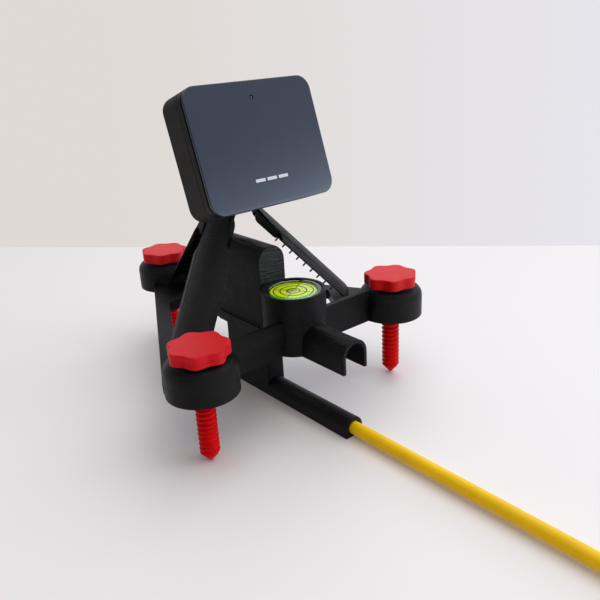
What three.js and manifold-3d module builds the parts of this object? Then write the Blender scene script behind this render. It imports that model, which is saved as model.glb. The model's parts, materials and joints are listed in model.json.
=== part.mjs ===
// Radar launch monitor on a folding mini tripod, standing in a printed levelling frame with an
// alignment rod. Millimetres, +Z up, -Y towards the target. The origin is on the floor, under the
// middle of the line between the two front levelling screws.
import * as THREE from "three";
import { mergeVertices } from "three/addons/utils/BufferGeometryUtils.js";
import Module from "manifold-3d";

const wasm = await Module();
wasm.setup();

// ---- Driving dimensions ----
const GAP = 0.3; // clearance between touching pieces

// Levelling frame
const FRONT_FOOT_X = 74; // front screws, either side of the middle
const REAR_FOOT_Y = 164.5; // rear screw, behind the front pair
const FRAME_LOW = 44; // underside of the frame above the floor
const PLATE_TOP = 51; // top of the side bars and corner plates
const BOSS_R = 20.5;
const BOSS_TOP = 63.5;
const BOSS_ROUND = 6; // rounding of the upper edge of a boss
const BOSS_BORE = 6.3;
const WALL_FRONT = 0.3; // front wall, from this y
const WALL_BACK = 4.3;
const WALL_TOP = 65;
const WALL_END_X = 56.1; // ends of the front wall, clear of the knobs
const BAR_WIDTH = 9.7;
const BAR_FRONT = [91.5, 12]; // outer face of a side bar at its front end, |x| and y
const BAR_REAR = [12.1, 164.5];
const REAR_PLATE_Y = 112; // front edge of the rear corner plate
const SPINE_HALF = 9.2; // arched channel along the middle
const SPINE_INNER = 7;
const SPINE_LOW = 43;
const SPINE_TOP = 62;
const SPINE_FRONT = -41.5;
const TOWER_HALF = 10;
const TOWER_FRONT = 29.6;
const TOWER_BACK = 79;
const TOWER_TOP = 101.8;
const TOWER_WALL = 3;
const CUP_Y = 10;
const CUP_R = 19.5;
const CUP_LOW = 43.3;
const CUP_TOP = 79.4;
const CUP_FLOOR = 66;
const VIAL_R = 17;
const VIAL_WALL = 2.6;
const LENS_DEPTH = 1.2; // fluid's surface below the top of the vial

// Levelling screws and their knobs
const SCREW_R = 5.4;
const SCREW_TOP = 64.5;
const TIP_HEIGHT = 6;
const TIP_R = 0.5;
const SPIGOT_R = 4;
const SPIGOT_TOP = 70.4;
const KNOB_LOW = 64.9;
const KNOB_TOP = 71.9;
const KNOB_R = 16.2;
const KNOB_LOBES = 7;
const KNOB_WAVE = 1.1;
const KNOB_BEVEL = 0.6;

// Rod carrier and alignment rod
const CARRIER_HALF = 6.5;
const ARM_FRONT = -39.5;
const ARM_TOP = 12;
const BLADE_FRONT = 33;
const BLADE_BACK = 75.7;
const BLADE_TOP = 55.5;
const ROD_R = 3.95;
const ROD_Z = 5.4;
const ROD_INNER_END = 25;
const ROD_LENGTH = 406;
const CAP_LENGTH = 16;

// Tripod
const HUB_Y = 68.5;
const HUB_LOW = 118;
const HUB_TOP = 131.5;
const HUB_R = 6.4;
const HUB_FLANGE_R = 10.5;
const PIN_OUT = 11; // hinge pins, out from the tripod's axis
const PIN_Z = 122.8;
const PIN_R = 1.5;
const PIN_HALF = 9.3;
const LUG_HALF = 6.6;
const LUG_R = 3.8;
const LEG_AZIMUTHS = { left: 210, right: -30, rear: 90 }; // degrees anticlockwise from +X
const LEG_SPREAD = 42.7; // degrees from the tripod's axis
const LEG_CREST = 13.75; // outer face of a folded leg from the tripod's axis
const LEG_ARC = 17.9; // radius of the leg's curved outer face
const LEG_WALL = 2;
const LEG_TOP = 4.6; // below the pin, along the leg
const NECK_HALF = 9.1;
const NECK_END = 25;
const SHOULDER_END = 31.5;
const LEG_HALF = 13.2;
const LEG_END = 89.6;
const TOE_END = 94.2;
const CHEEK_WALL = 2; // flat side walls of the neck
const CHEEK_TOP = 8;
const CHEEK_END = 30;
const CHEEK_DEEP = 5.6; // inner edge of the side walls from the tripod's axis
const EAR_R = 4;
const RIB_COUNT = 9;
const RIB_FIRST = 31.6;
const RIB_STEP = 6.5;
const RIB_THICK = 0.9;

// Ball head and radar head
const BALL_Z = 147;
const BALL_R = 6;
const SOCKET_R = 9;
const SOCKET_FOOT_R = 10.5;
const COLLAR_LOW = 134.6;
const SOCKET_TOP = 150.2;
const COLLAR_R = 11.6;
const COLLAR_TOP = 143.2;
const HEAD_TILT = 18.1; // degrees, face leaning back
const HEAD_WIDTH = 88.9;
const HEAD_HEIGHT = 71.1;
const HEAD_DEPTH = 25.4;
const HEAD_BACK = -16.5; // back face in front of the ball's centre
const HEAD_RISE = 3.4; // middle of the head above the stud's axis
const HEAD_CORNER = 8.5;
const PLATE_THICK = 1.3;
const BEZEL_FROM = 2.6; // depths below the front face
const BEZEL_TO = 7.2;
const NECK_INSET = 1.4;
const CASE_WALL = 2.2;
const CASE_ROUND = 2.4;

// ---- Materials ----
function paint(color, roughness, metalness = 0) {
  return new THREE.MeshStandardMaterial({ color, roughness, metalness });
}

const LOOKS = {
  frame: () => paint(0x1b1d22, 0.75),
  red: () => paint(0xc5141a, 0.5),
  rod: () => paint(0xf2c800, 0.35),
  steel: () => paint(0xb5b8bc, 0.3, 1),
  darkPlastic: () => paint(0x15171c, 0.5),
  rubber: () => paint(0x1f1c1b, 0.85),
  board: () => paint(0x1d5b34, 0.6),
  vial: () => paint(0x2f9a46, 0.35),
  fluid: () => paint(0xd2ee15, 0.2),
  clear: () => paint(0xe8f2ec, 0.1),
  brass: () => paint(0xb08d3e, 0.4, 1),
  cell: () => paint(0x9aa3ad, 0.5),
};

// ---- Solids ----
const turnX = (degrees) => new THREE.Matrix4().makeRotationX(THREE.MathUtils.degToRad(degrees));
const turnY = (degrees) => new THREE.Matrix4().makeRotationY(THREE.MathUtils.degToRad(degrees));
const shift = (x, y, z) => new THREE.Matrix4().makeTranslation(x, y, z);

function solid(geometry) {
  const bare = new THREE.BufferGeometry();
  bare.setAttribute("position", geometry.getAttribute("position"));
  if (geometry.index) bare.setIndex(geometry.index);
  const merged = mergeVertices(bare, 1e-4);
  return new wasm.Manifold(
    new wasm.Mesh({
      numProp: 3,
      vertProperties: merged.attributes.position.array,
      triVerts: new Uint32Array(merged.index.array),
    }),
  );
}

function geometryOf(body) {
  const mesh = body.getMesh();
  const geometry = new THREE.BufferGeometry();
  geometry.setAttribute("position", new THREE.BufferAttribute(mesh.vertProperties, 3));
  geometry.setIndex(new THREE.BufferAttribute(mesh.triVerts, 1));
  geometry.computeVertexNormals();
  return geometry;
}

function join(...geometries) {
  return geometryOf(geometries.map(solid).reduce((whole, piece) => whole.add(piece)));
}

function cut(geometry, ...tools) {
  return geometryOf(tools.map(solid).reduce((left, tool) => left.subtract(tool), solid(geometry)));
}

function keepInside(geometry, other) {
  return geometryOf(solid(geometry).intersect(solid(other)));
}

// Box from its lower to its upper corner.
function block([x0, y0, z0], [x1, y1, z1]) {
  const box = new THREE.BoxGeometry(x1 - x0, y1 - y0, z1 - z0);
  return box.translate((x0 + x1) / 2, (y0 + y1) / 2, (z0 + z1) / 2);
}

// Body turned about the Z axis from a profile of [radius, height] that starts and ends on it.
function turned(profile, sides = 40) {
  return new THREE.LatheGeometry(profile.map(([r, z]) => new THREE.Vector2(r, z)), sides)
    .applyMatrix4(turnX(90));
}

function rodZ(radius, low, high, sides = 32) {
  return turned([[0, low], [radius, low], [radius, high], [0, high]], sides);
}

// Round bar along Y or X, centred on the given line.
function rodY(radius, [x, z], from, to, sides = 28) {
  return rodZ(radius, from, to, sides).applyMatrix4(turnX(-90)).applyMatrix4(shift(x, 0, z));
}

function rodX(radius, [y, z], from, to, sides = 20) {
  return rodZ(radius, from, to, sides).applyMatrix4(turnY(90)).applyMatrix4(shift(0, y, z));
}

// Plate with an outline of [x, y] points, between two heights.
function plateZ(outline, low, high) {
  const shape = new THREE.Shape(outline.map(([x, y]) => new THREE.Vector2(x, y)));
  return new THREE.ExtrudeGeometry(shape, { depth: high - low, bevelEnabled: false, steps: 1 })
    .translate(0, 0, low);
}

// Bar along Y with a cross-section drawn as [x, z].
function barY(outline, from, to) {
  return plateZ(outline, -to, -from).applyMatrix4(turnX(90));
}

// Bar along X with a cross-section drawn as [y, z].
function barX(outline, from, to) {
  const shape = new THREE.Shape(outline.map(([y, z]) => new THREE.Vector2(y, z)));
  const bar = new THREE.ExtrudeGeometry(shape, { depth: to - from, bevelEnabled: false, steps: 1 });
  return bar.applyMatrix4(new THREE.Matrix4().set(0, 0, 1, from, 1, 0, 0, 0, 0, 1, 0, 0, 0, 0, 0, 1));
}

function arcPoints(centreX, centreY, radius, from, to, steps) {
  return Array.from({ length: steps + 1 }, (_, i) => {
    const angle = THREE.MathUtils.degToRad(from + ((to - from) * i) / steps);
    return [centreX + radius * Math.cos(angle), centreY + radius * Math.sin(angle)];
  });
}

// Upright outline with a round top: straight sides at +-half from low up to the arch.
function archOutline(half, low, top, steps = 14) {
  return [[-half, low], [half, low], ...arcPoints(0, top - half, half, 0, 180, steps)];
}

// Body through a row of closed outlines with the same number of points, capped at both ends.
function loft(rings) {
  const count = rings[0].length;
  const points = rings.flat();
  const faces = [];
  for (let k = 0; k + 1 < rings.length; k++) {
    for (let i = 0; i < count; i++) {
      const a = k * count + i;
      const b = k * count + ((i + 1) % count);
      faces.push([a, b, b + count], [a, b + count, a + count]);
    }
  }
  for (const [ring, start, last] of [[rings[0], 0, false], [rings.at(-1), points.length - count, true]]) {
    const middle = ring.reduce((sum, p) => sum.map((v, axis) => v + p[axis] / count), [0, 0, 0]);
    points.push(middle);
    for (let i = 0; i < count; i++) {
      const edge = [start + i, start + ((i + 1) % count)];
      faces.push([points.length - 1, ...(last ? edge : edge.reverse())]);
    }
  }
  const volume = faces.reduce((sum, face) => {
    const [a, b, c] = face.map((index) => new THREE.Vector3(...points[index]));
    return sum + a.dot(b.cross(c));
  }, 0);
  const facing = volume < 0 ? faces.map(([a, b, c]) => [a, c, b]) : faces;
  const geometry = new THREE.BufferGeometry();
  geometry.setAttribute("position", new THREE.Float32BufferAttribute(points.flat(), 3));
  geometry.setIndex(facing.flat());
  return geometry;
}

// ---- Scene graph ----
const part = new THREE.Group();

function add(group, name, geometry, look) {
  const mesh = new THREE.Mesh(geometry, LOOKS[look]());
  mesh.name = name;
  group.add(mesh);
  return mesh;
}

function subgroup(parent, x, y, z) {
  const group = new THREE.Group();
  group.position.set(x, y, z);
  parent.add(group);
  return group;
}

const FEET = [[-FRONT_FOOT_X, 0], [FRONT_FOOT_X, 0], [0, REAR_FOOT_Y]];

// ---- Levelling frame ----
function boss([x, y]) {
  const round = arcPoints(BOSS_R - BOSS_ROUND, BOSS_TOP - BOSS_ROUND, BOSS_ROUND, 0, 90, 4);
  return turned([[0, FRAME_LOW], [BOSS_R, FRAME_LOW], ...round, [0, BOSS_TOP]], 48).translate(x, y, 0);
}

function sideBar(side) {
  const along = new THREE.Vector2(BAR_REAR[0] - BAR_FRONT[0], BAR_REAR[1] - BAR_FRONT[1]).normalize();
  const inward = [-along.y * BAR_WIDTH, along.x * BAR_WIDTH];
  const outline = [
    BAR_FRONT,
    BAR_REAR,
    [BAR_REAR[0] + inward[0], BAR_REAR[1] + inward[1]],
    [BAR_FRONT[0] + inward[0], BAR_FRONT[1] + inward[1]],
  ];
  return plateZ(outline.map(([x, y]) => [side * x, y]), FRAME_LOW, PLATE_TOP);
}

function frontCorner(side) {
  const outline = [[86, 5], [79, 36], [64, 52], [36, WALL_BACK - 1], [60, WALL_BACK - 1]];
  return plateZ(outline.map(([x, y]) => [side * x, y]), FRAME_LOW, PLATE_TOP);
}

function rearCorner() {
  const along = (BAR_FRONT[0] - BAR_REAR[0]) / (BAR_REAR[1] - BAR_FRONT[1]);
  const halfWidth = BAR_REAR[0] + along * (BAR_REAR[1] - REAR_PLATE_Y) - 2;
  const back = BAR_REAR[1] - BOSS_R / 2;
  const outline = [[-halfWidth, REAR_PLATE_Y], [halfWidth, REAR_PLATE_Y], [14, back], [-14, back]];
  return plateZ(outline, FRAME_LOW, PLATE_TOP);
}

// Fine steps low on the tower, where it widens out from the spine.
function towerSteps() {
  return [0, 1, 2].map((step) =>
    block(
      [-TOWER_HALF - 0.35 * step, TOWER_FRONT + 3, 52.6 - 1.7 * step],
      [TOWER_HALF + 0.35 * step, TOWER_BACK - 3, 53.4 - 1.7 * step],
    ),
  );
}

function levelFrame() {
  const wall = block(
    [-WALL_END_X, WALL_FRONT, FRAME_LOW],
    [WALL_END_X, WALL_BACK, WALL_TOP],
  );
  const whole = join(
    ...FEET.map(boss),
    wall,
    sideBar(-1),
    sideBar(1),
    frontCorner(-1),
    frontCorner(1),
    rearCorner(),
    barY(archOutline(SPINE_HALF, SPINE_LOW, SPINE_TOP), SPINE_FRONT, REAR_PLATE_Y + 4),
    barY(archOutline(TOWER_HALF, SPINE_LOW, TOWER_TOP), TOWER_FRONT, TOWER_BACK),
    ...towerSteps(),
    rodZ(CUP_R, CUP_LOW, CUP_TOP, 56).translate(0, CUP_Y, 0),
  );
  const slotTop = TOWER_TOP - TOWER_WALL - 0.8;
  return cut(
    whole,
    ...FEET.map(([x, y]) => rodZ(BOSS_BORE, FRAME_LOW - 1, BOSS_TOP + 1).translate(x, y, 0)),
    rodZ(VIAL_R + GAP, CUP_FLOOR, CUP_TOP + 1, 48).translate(0, CUP_Y, 0),
    barY(
      archOutline(SPINE_INNER, SPINE_LOW - 1, SPINE_TOP - SPINE_HALF + SPINE_INNER, 10),
      SPINE_FRONT - 1,
      TOWER_BACK - TOWER_WALL,
    ),
    barY(
      archOutline(SPINE_INNER, SPINE_LOW - 1, slotTop, 10),
      TOWER_FRONT + TOWER_WALL,
      TOWER_BACK - TOWER_WALL,
    ),
  );
}

// ---- Levelling screws and knobs ----
function levelScrew() {
  return turned(
    [[0, 0], [TIP_R, 0], [SCREW_R, TIP_HEIGHT], [SCREW_R, SCREW_TOP], [SPIGOT_R, SCREW_TOP],
      [SPIGOT_R, SPIGOT_TOP], [0, SPIGOT_TOP]],
    24,
  );
}

function knobRing(z, inset) {
  const count = KNOB_LOBES * 10;
  return Array.from({ length: count }, (_, i) => {
    const angle = (2 * Math.PI * i) / count;
    const radius = KNOB_R - KNOB_WAVE * Math.cos(KNOB_LOBES * angle) - inset;
    return [radius * Math.cos(angle), radius * Math.sin(angle), z];
  });
}

function knob() {
  const body = loft([
    knobRing(KNOB_LOW, 0),
    knobRing(KNOB_TOP - KNOB_BEVEL, 0),
    knobRing(KNOB_TOP, KNOB_BEVEL),
  ]);
  return cut(body, rodZ(SPIGOT_R + GAP, KNOB_LOW - 1, SPIGOT_TOP + GAP, 24));
}

// ---- Bullseye level ----
function addLevelVial() {
  const group = subgroup(part, 0, CUP_Y, 0);
  const low = CUP_FLOOR + GAP;
  const top = CUP_TOP - GAP;
  const innerR = VIAL_R - VIAL_WALL;
  const body = cut(rodZ(VIAL_R, low, top, 44), rodZ(innerR, low + 2.4, top + 1, 44));
  const fluidTop = top - LENS_DEPTH;
  const fluid = cut(
    rodZ(innerR - GAP, low + 2.7, fluidTop, 36),
    rodZ(3.9, fluidTop - 1.7, fluidTop + 1, 20).translate(-0.6, 0.8, 0),
  );
  const bubble = turned(
    [[0, fluidTop - 1.3], [2.6, fluidTop - 1.1], [3.5, fluidTop - 0.6], [3.2, fluidTop], [0, fluidTop]],
    20,
  ).translate(-0.6, 0.8, 0);
  add(group, "vial_body", body, "vial");
  add(group, "vial_fluid", fluid, "fluid");
  add(group, "vial_bubble", bubble, "clear");
  add(group, "vial_lens", rodZ(innerR - GAP, fluidTop + GAP, top, 36), "clear");
}

// ---- Rod carrier and rod ----
function rodCarrier() {
  const arm = barY(archOutline(CARRIER_HALF, 0, ARM_TOP), ARM_FRONT, BLADE_BACK);
  const blade = block([-CARRIER_HALF, BLADE_FRONT, 4], [CARRIER_HALF, BLADE_BACK, BLADE_TOP]);
  const socket = rodY(ROD_R + GAP, [0, ROD_Z], ARM_FRONT - 1, ROD_INNER_END + GAP);
  return cut(join(arm, blade), socket);
}

function addRod() {
  const outerEnd = ROD_INNER_END - ROD_LENGTH;
  const ferrule = 8; // bared, thinner end of the rod inside its cap
  add(
    part,
    "alignment_rod",
    join(
      rodY(ROD_R, [0, ROD_Z], outerEnd + ferrule, ROD_INNER_END),
      rodY(ROD_R - 1.2, [0, ROD_Z], outerEnd + 1, outerEnd + ferrule + 1),
    ),
    "rod",
  );
  const cap = turned(
    [[0, 0], [3.2, 0], [4.4, 1.2], [4.4, CAP_LENGTH], [ROD_R + GAP, CAP_LENGTH],
      [ROD_R + GAP, ferrule - GAP], [ROD_R - 0.9, ferrule - GAP], [ROD_R - 0.9, 1 - GAP], [0, 1 - GAP]],
    28,
  ).applyMatrix4(turnX(-90));
  add(part, "rod_end_cap", cap.applyMatrix4(shift(0, outerEnd, ROD_Z)), "rubber");
}

// ---- Tripod ----
function tripodHub() {
  const column = turned(
    [[0, HUB_LOW], [HUB_R - 1.5, HUB_LOW], [HUB_R, HUB_LOW + 1.5], [HUB_R, HUB_TOP - 4.2],
      [HUB_FLANGE_R, HUB_TOP - 3], [HUB_FLANGE_R, HUB_TOP], [0, HUB_TOP]],
    36,
  );
  const lugs = Object.values(LEG_AZIMUTHS).map((azimuth) => {
    const end = arcPoints(PIN_OUT, PIN_Z, LUG_R, -90, 90, 10);
    const lug = barX([[2, PIN_Z - LUG_R], ...end, [2, PIN_Z + LUG_R]], -LUG_HALF, LUG_HALF);
    const bored = cut(lug, rodX(PIN_R + GAP, [PIN_OUT, PIN_Z], -LUG_HALF - 1, LUG_HALF + 1));
    return bored.applyMatrix4(new THREE.Matrix4().makeRotationZ(THREE.MathUtils.degToRad(azimuth - 90)));
  });
  return join(column, ...lugs);
}

// A leg hangs along -Z from its pin, with +Y pointing out from the tripod's axis.
const ARC_CENTRE = LEG_CREST - LEG_ARC - PIN_OUT;

// Half of the angle that the shell's arc takes up at the given half width.
function arcHalfAngle(half, radius) {
  return THREE.MathUtils.radToDeg(Math.asin(half / radius));
}

function legShell() {
  const reach = arcHalfAngle(LEG_HALF + 2, LEG_ARC);
  const tube = plateZ(
    [
      ...arcPoints(0, ARC_CENTRE, LEG_ARC, 90 - reach, 90 + reach, 16),
      ...arcPoints(0, ARC_CENTRE, LEG_ARC - LEG_WALL, 90 + reach, 90 - reach, 16),
    ],
    -LEG_END,
    -LEG_TOP,
  );
  const bend = (SHOULDER_END - NECK_END) / 3;
  const right = [[LEG_HALF, -LEG_END - 1], [LEG_HALF, -SHOULDER_END], [NECK_HALF + 1.5, -NECK_END - bend * 1.5],
    [NECK_HALF + 0.4, -NECK_END - bend * 0.7], [NECK_HALF, -NECK_END], [NECK_HALF, -LEG_TOP + 1]];
  const outline = [...right, ...right.map(([x, z]) => [-x, z]).reverse()];
  return keepInside(tube, barY(outline, -PIN_OUT, LEG_ARC));
}

// Flat side wall of the neck, rounded at its two inner corners, with the ear for the hinge pin.
function legCheek(side) {
  const deep = CHEEK_DEEP - PIN_OUT;
  const rim = LEG_CREST - PIN_OUT - 3;
  const corner = 4;
  const outline = [
    [rim, -CHEEK_END],
    ...arcPoints(deep + corner, -CHEEK_END + corner, corner, 270, 180, 4),
    ...arcPoints(deep + corner, -CHEEK_TOP - corner, corner, 180, 90, 4),
    ...arcPoints(0, 0, EAR_R, 200, 0, 12),
    [rim + 0.4, -LEG_TOP - 1],
    [rim + 0.4, -NECK_END],
  ];
  const [from, to] = side < 0 ? [-NECK_HALF, CHEEK_WALL - NECK_HALF] : [NECK_HALF - CHEEK_WALL, NECK_HALF];
  return cut(barX(outline, from, to), rodX(PIN_R + GAP, [0, 0], from - 1, to + 1));
}

// Thin cross rib inside the shell, with a peg that stands proud of the open side.
function legRib(index) {
  const middle = -(RIB_FIRST + RIB_STEP * index);
  const inner = [[0.8, 3.4], [1.1, 8], [11.6, 8.7], [11.4, 9.4], [7, 11.2]];
  const half = inner.map(([x, out]) => [x, out - PIN_OUT]);
  const outline = [...half, [0, LEG_CREST - 1 - PIN_OUT], ...half.map(([x, y]) => [-x, y]).reverse()];
  return plateZ(outline, middle - RIB_THICK / 2, middle + RIB_THICK / 2);
}

// Space that one leg may fill when all three are folded: a third of the round, less a gap.
function foldedSector() {
  const apex = GAP - PIN_OUT;
  const reach = 30;
  const side = reach * Math.tan(THREE.MathUtils.degToRad(60));
  return plateZ([[0, apex], [side, apex + reach], [-side, apex + reach]], -LEG_END - 1, EAR_R + 1);
}

function tripodLeg() {
  const ribs = Array.from({ length: RIB_COUNT }, (_, index) => legRib(index));
  return keepInside(join(legShell(), legCheek(-1), legCheek(1), ...ribs), foldedSector());
}

// Soft toe that closes the end of a leg, cut back on its outer side.
function legToe() {
  const reach = arcHalfAngle(LEG_HALF, LEG_ARC);
  const chord = LEG_ARC * Math.cos(THREE.MathUtils.degToRad(reach));
  const ring = (scale, squash, z) =>
    arcPoints(0, 0, LEG_ARC, 90 - reach, 90 + reach, 14).map(([x, y]) => [
      x * scale,
      chord + (y - chord) * squash + ARC_CENTRE,
      z,
    ]);
  return loft([
    ring(1, 1, -LEG_END - GAP),
    ring(1, 0.85, -LEG_END - 2.4),
    ring(0.98, 0.5, -TOE_END + 0.8),
    ring(0.94, 0.3, -TOE_END),
  ]);
}

function addTripod() {
  const tripod = subgroup(part, 0, HUB_Y, 0);
  add(tripod, "tripod_hub", tripodHub(), "darkPlastic");
  for (const [side, azimuth] of Object.entries(LEG_AZIMUTHS)) {
    const bearing = subgroup(tripod, 0, 0, 0);
    bearing.rotation.z = THREE.MathUtils.degToRad(azimuth - 90);
    const pin = rodX(PIN_R, [0, 0], -PIN_HALF, PIN_HALF, 20);
    add(subgroup(bearing, 0, PIN_OUT, PIN_Z), "leg_pin_" + side, pin, "steel");
    const leg = subgroup(bearing, 0, PIN_OUT, PIN_Z);
    leg.rotation.x = THREE.MathUtils.degToRad(LEG_SPREAD);
    add(leg, "tripod_leg_" + side, tripodLeg(), "darkPlastic");
    add(leg, "leg_foot_" + side, legToe(), "rubber");
  }
}

// ---- Ball head ----
// Below the radar head, the socket turns on the hub and its notch lets the stud lie almost level.
function addBallSocket() {
  const group = subgroup(part, 0, HUB_Y, 0);
  const low = HUB_TOP + GAP;
  const outside = turned(
    [[0, low], [SOCKET_FOOT_R, low], [SOCKET_FOOT_R, low + 2], [SOCKET_R, low + 2.3],
      [SOCKET_R, SOCKET_TOP - 1], [SOCKET_R - 1, SOCKET_TOP], [0, SOCKET_TOP]],
    40,
  );
  const hollow = new THREE.SphereGeometry(BALL_R + GAP, 32, 20).translate(0, 0, BALL_Z);
  const mouth = rodZ(BALL_R - 0.7, BALL_Z, SOCKET_TOP + 1, 32);
  const notch = block([-3.6, -SOCKET_R - 1, BALL_Z - 1.6], [3.6, 0, SOCKET_TOP + 1]);
  add(group, "ball_socket", cut(outside, hollow, mouth, notch), "darkPlastic");

  const grips = 24;
  const ring = (z, inset) =>
    Array.from({ length: grips * 4 }, (_, i) => {
      const angle = (2 * Math.PI * i) / (grips * 4);
      const radius = COLLAR_R - inset - (i % 4 < 2 ? 0 : 0.45);
      return [radius * Math.cos(angle), radius * Math.sin(angle), z];
    });
  const collar = loft([
    ring(COLLAR_LOW, 0.5),
    ring(COLLAR_LOW + 0.6, 0),
    ring(COLLAR_TOP - 0.6, 0),
    ring(COLLAR_TOP, 0.5),
  ]);
  const bore = rodZ(SOCKET_R + GAP, COLLAR_LOW - 1, COLLAR_TOP + 1, 40);
  add(group, "clamp_collar", cut(collar, bore), "darkPlastic");
}

// The radar head's own frame has its origin at the ball's centre, -Y out of the face and +Z up it.
const HEAD_FRONT = HEAD_BACK - HEAD_DEPTH;

function headOutline(inset) {
  const radius = Math.max(HEAD_CORNER - inset, 1);
  const halfX = HEAD_WIDTH / 2 - inset - radius;
  const halfZ = HEAD_HEIGHT / 2 - inset - radius;
  return [[1, 1, 0], [-1, 1, 90], [-1, -1, 180], [1, -1, 270]].flatMap(([sx, sz, start]) =>
    arcPoints(sx * halfX, HEAD_RISE + sz * halfZ, radius, start, start + 90, 6),
  );
}

// Body of the head's outline, through steps of [depth below the front face, inset].
function headLoft(steps) {
  return loft(steps.map(([depth, inset]) => headOutline(inset).map(([x, z]) => [x, HEAD_FRONT + depth, z])));
}

// Plain board or block inside the head: half width, half height and two depths.
function headBlock(halfX, halfZ, from, to, x = 0, z = 0) {
  return block(
    [x - halfX, HEAD_FRONT + from, HEAD_RISE + z - halfZ],
    [x + halfX, HEAD_FRONT + to, HEAD_RISE + z + halfZ],
  );
}

// Round bar along the head's depth.
function headRod(radius, [x, z], from, to, sides = 20) {
  return rodY(radius, [x, HEAD_RISE + z], HEAD_FRONT + from, HEAD_FRONT + to, sides);
}

const STATUS_UP = 26; // status light above the middle of the face
const CASE_SCREWS = [[-1, 1], [1, 1], [1, -1], [-1, -1]].map(([sx, sz]) => [sx * 37.4, sz * 28.5]);
const PORT = { z: -10, depth: 15.4, halfLength: 6.5, halfHeight: 3.4 };
const BUTTON = { z: 16, depth: 15.4, halfLength: 5.2, halfHeight: 2.1 };

function frontBezel() {
  const outer = join(
    headLoft([[PLATE_THICK + GAP, NECK_INSET], [BEZEL_FROM + 0.2, NECK_INSET]]),
    headLoft([[BEZEL_FROM, 0.4], [BEZEL_FROM + 0.4, 0], [BEZEL_TO - 0.3, 0], [BEZEL_TO, 0.3]]),
  );
  const frame = cut(outer, headLoft([[0, 4], [BEZEL_TO + 1, 4]]));
  const posts = CASE_SCREWS.map((at) => headRod(3.4, at, PLATE_THICK + GAP, BEZEL_TO));
  const holes = CASE_SCREWS.map((at) => headRod(1.4, at, BEZEL_FROM + 0.4, BEZEL_TO + 1, 14));
  return cut(join(frame, ...posts), ...holes);
}

function rearCasing() {
  const start = BEZEL_TO + GAP;
  const back = [0, 1, 2, 3, 4].map((i) => {
    const angle = (Math.PI / 2) * (i / 4);
    return [
      HEAD_DEPTH - CASE_ROUND * (1 - Math.sin(angle)),
      CASE_ROUND * (1 - Math.cos(angle)),
    ];
  });
  const outer = headLoft([[start, 0.3], [start + 0.3, 0], ...back]);
  const hollow = headLoft([[start - 1, CASE_WALL], [HEAD_DEPTH - CASE_WALL, CASE_WALL]]);
  const shell = cut(outer, hollow);
  const posts = CASE_SCREWS.map((at) => headRod(3.4, at, start + 0.6, HEAD_DEPTH - 1));
  const seat = headRod(7.6, [0, -HEAD_RISE], HEAD_DEPTH - 6.4, HEAD_DEPTH - 1, 28);
  const side = HEAD_WIDTH / 2;
  const slot = ({ z, depth, halfLength, halfHeight }, deep, extra) =>
    block(
      [side - deep, HEAD_FRONT + depth - halfHeight - extra, HEAD_RISE + z - halfLength - extra],
      [side + 1, HEAD_FRONT + depth + halfHeight + extra, HEAD_RISE + z + halfLength + extra],
    );
  return cut(
    join(shell, ...posts, seat),
    ...CASE_SCREWS.map((at) => headRod(1.4, at, start, HEAD_DEPTH, 14)),
    ...CASE_SCREWS.map((at) => headRod(2.6, at, HEAD_DEPTH - 2.6, HEAD_DEPTH + 1)),
    headRod(4.9, [0, -HEAD_RISE], HEAD_DEPTH - 7, HEAD_DEPTH + 1, 28),
    slot(PORT, 1.5, GAP),
    slot({ ...PORT, halfLength: 4.3, halfHeight: 1.9 }, CASE_WALL + 1, 0),
    slot(BUTTON, CASE_WALL + 1, GAP),
  );
}

function caseScrew(at) {
  const cap = headRod(2.2, at, HEAD_DEPTH - 2.3, HEAD_DEPTH - 0.6);
  const shank = headRod(1.1, at, BEZEL_FROM + 1, HEAD_DEPTH - 1.5, 12);
  return join(cap, shank);
}

// Button with an inner flange that keeps it in its slot.
function powerButton() {
  const side = HEAD_WIDTH / 2;
  const { z, depth, halfLength, halfHeight } = BUTTON;
  const at = (x0, x1, extra) =>
    block(
      [x0, HEAD_FRONT + depth - halfHeight - extra, HEAD_RISE + z - halfLength - extra],
      [x1, HEAD_FRONT + depth + halfHeight + extra, HEAD_RISE + z + halfLength + extra],
    );
  return join(at(side - 3.6, side - 0.1, 0), at(side - 3.6, side - CASE_WALL - GAP, 0.9));
}

function chargePort() {
  const side = HEAD_WIDTH / 2;
  const shell = block(
    [side - 9, HEAD_FRONT + PORT.depth - 1.5, HEAD_RISE + PORT.z - 3.9],
    [side - 1.9, HEAD_FRONT + PORT.depth + 1.5, HEAD_RISE + PORT.z + 3.9],
  );
  const mouth = block(
    [side - 7.6, HEAD_FRONT + PORT.depth - 1.1, HEAD_RISE + PORT.z - 3.4],
    [side, HEAD_FRONT + PORT.depth + 1.1, HEAD_RISE + PORT.z + 3.4],
  );
  const tongue = block(
    [side - 8, HEAD_FRONT + PORT.depth - 0.3, HEAD_RISE + PORT.z - 2.6],
    [side - 3, HEAD_FRONT + PORT.depth + 0.3, HEAD_RISE + PORT.z + 2.6],
  );
  return join(cut(shell, mouth), tongue);
}

function portCover() {
  const side = HEAD_WIDTH / 2;
  return block(
    [side - 1.2, HEAD_FRONT + PORT.depth - PORT.halfHeight, HEAD_RISE + PORT.z - PORT.halfLength],
    [side - 0.1, HEAD_FRONT + PORT.depth + PORT.halfHeight, HEAD_RISE + PORT.z + PORT.halfLength],
  );
}

function radarShield() {
  return cut(headBlock(25, 18, 6.6, 9.4), headBlock(24.3, 17.3, 6, 8.8));
}

function mountInsert() {
  const bore = headRod(3.4, [0, -HEAD_RISE], HEAD_DEPTH - 6, HEAD_DEPTH + 1, 24);
  return cut(headRod(4.6, [0, -HEAD_RISE], HEAD_DEPTH - 6.6, HEAD_DEPTH - GAP, 28), bore);
}

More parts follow.
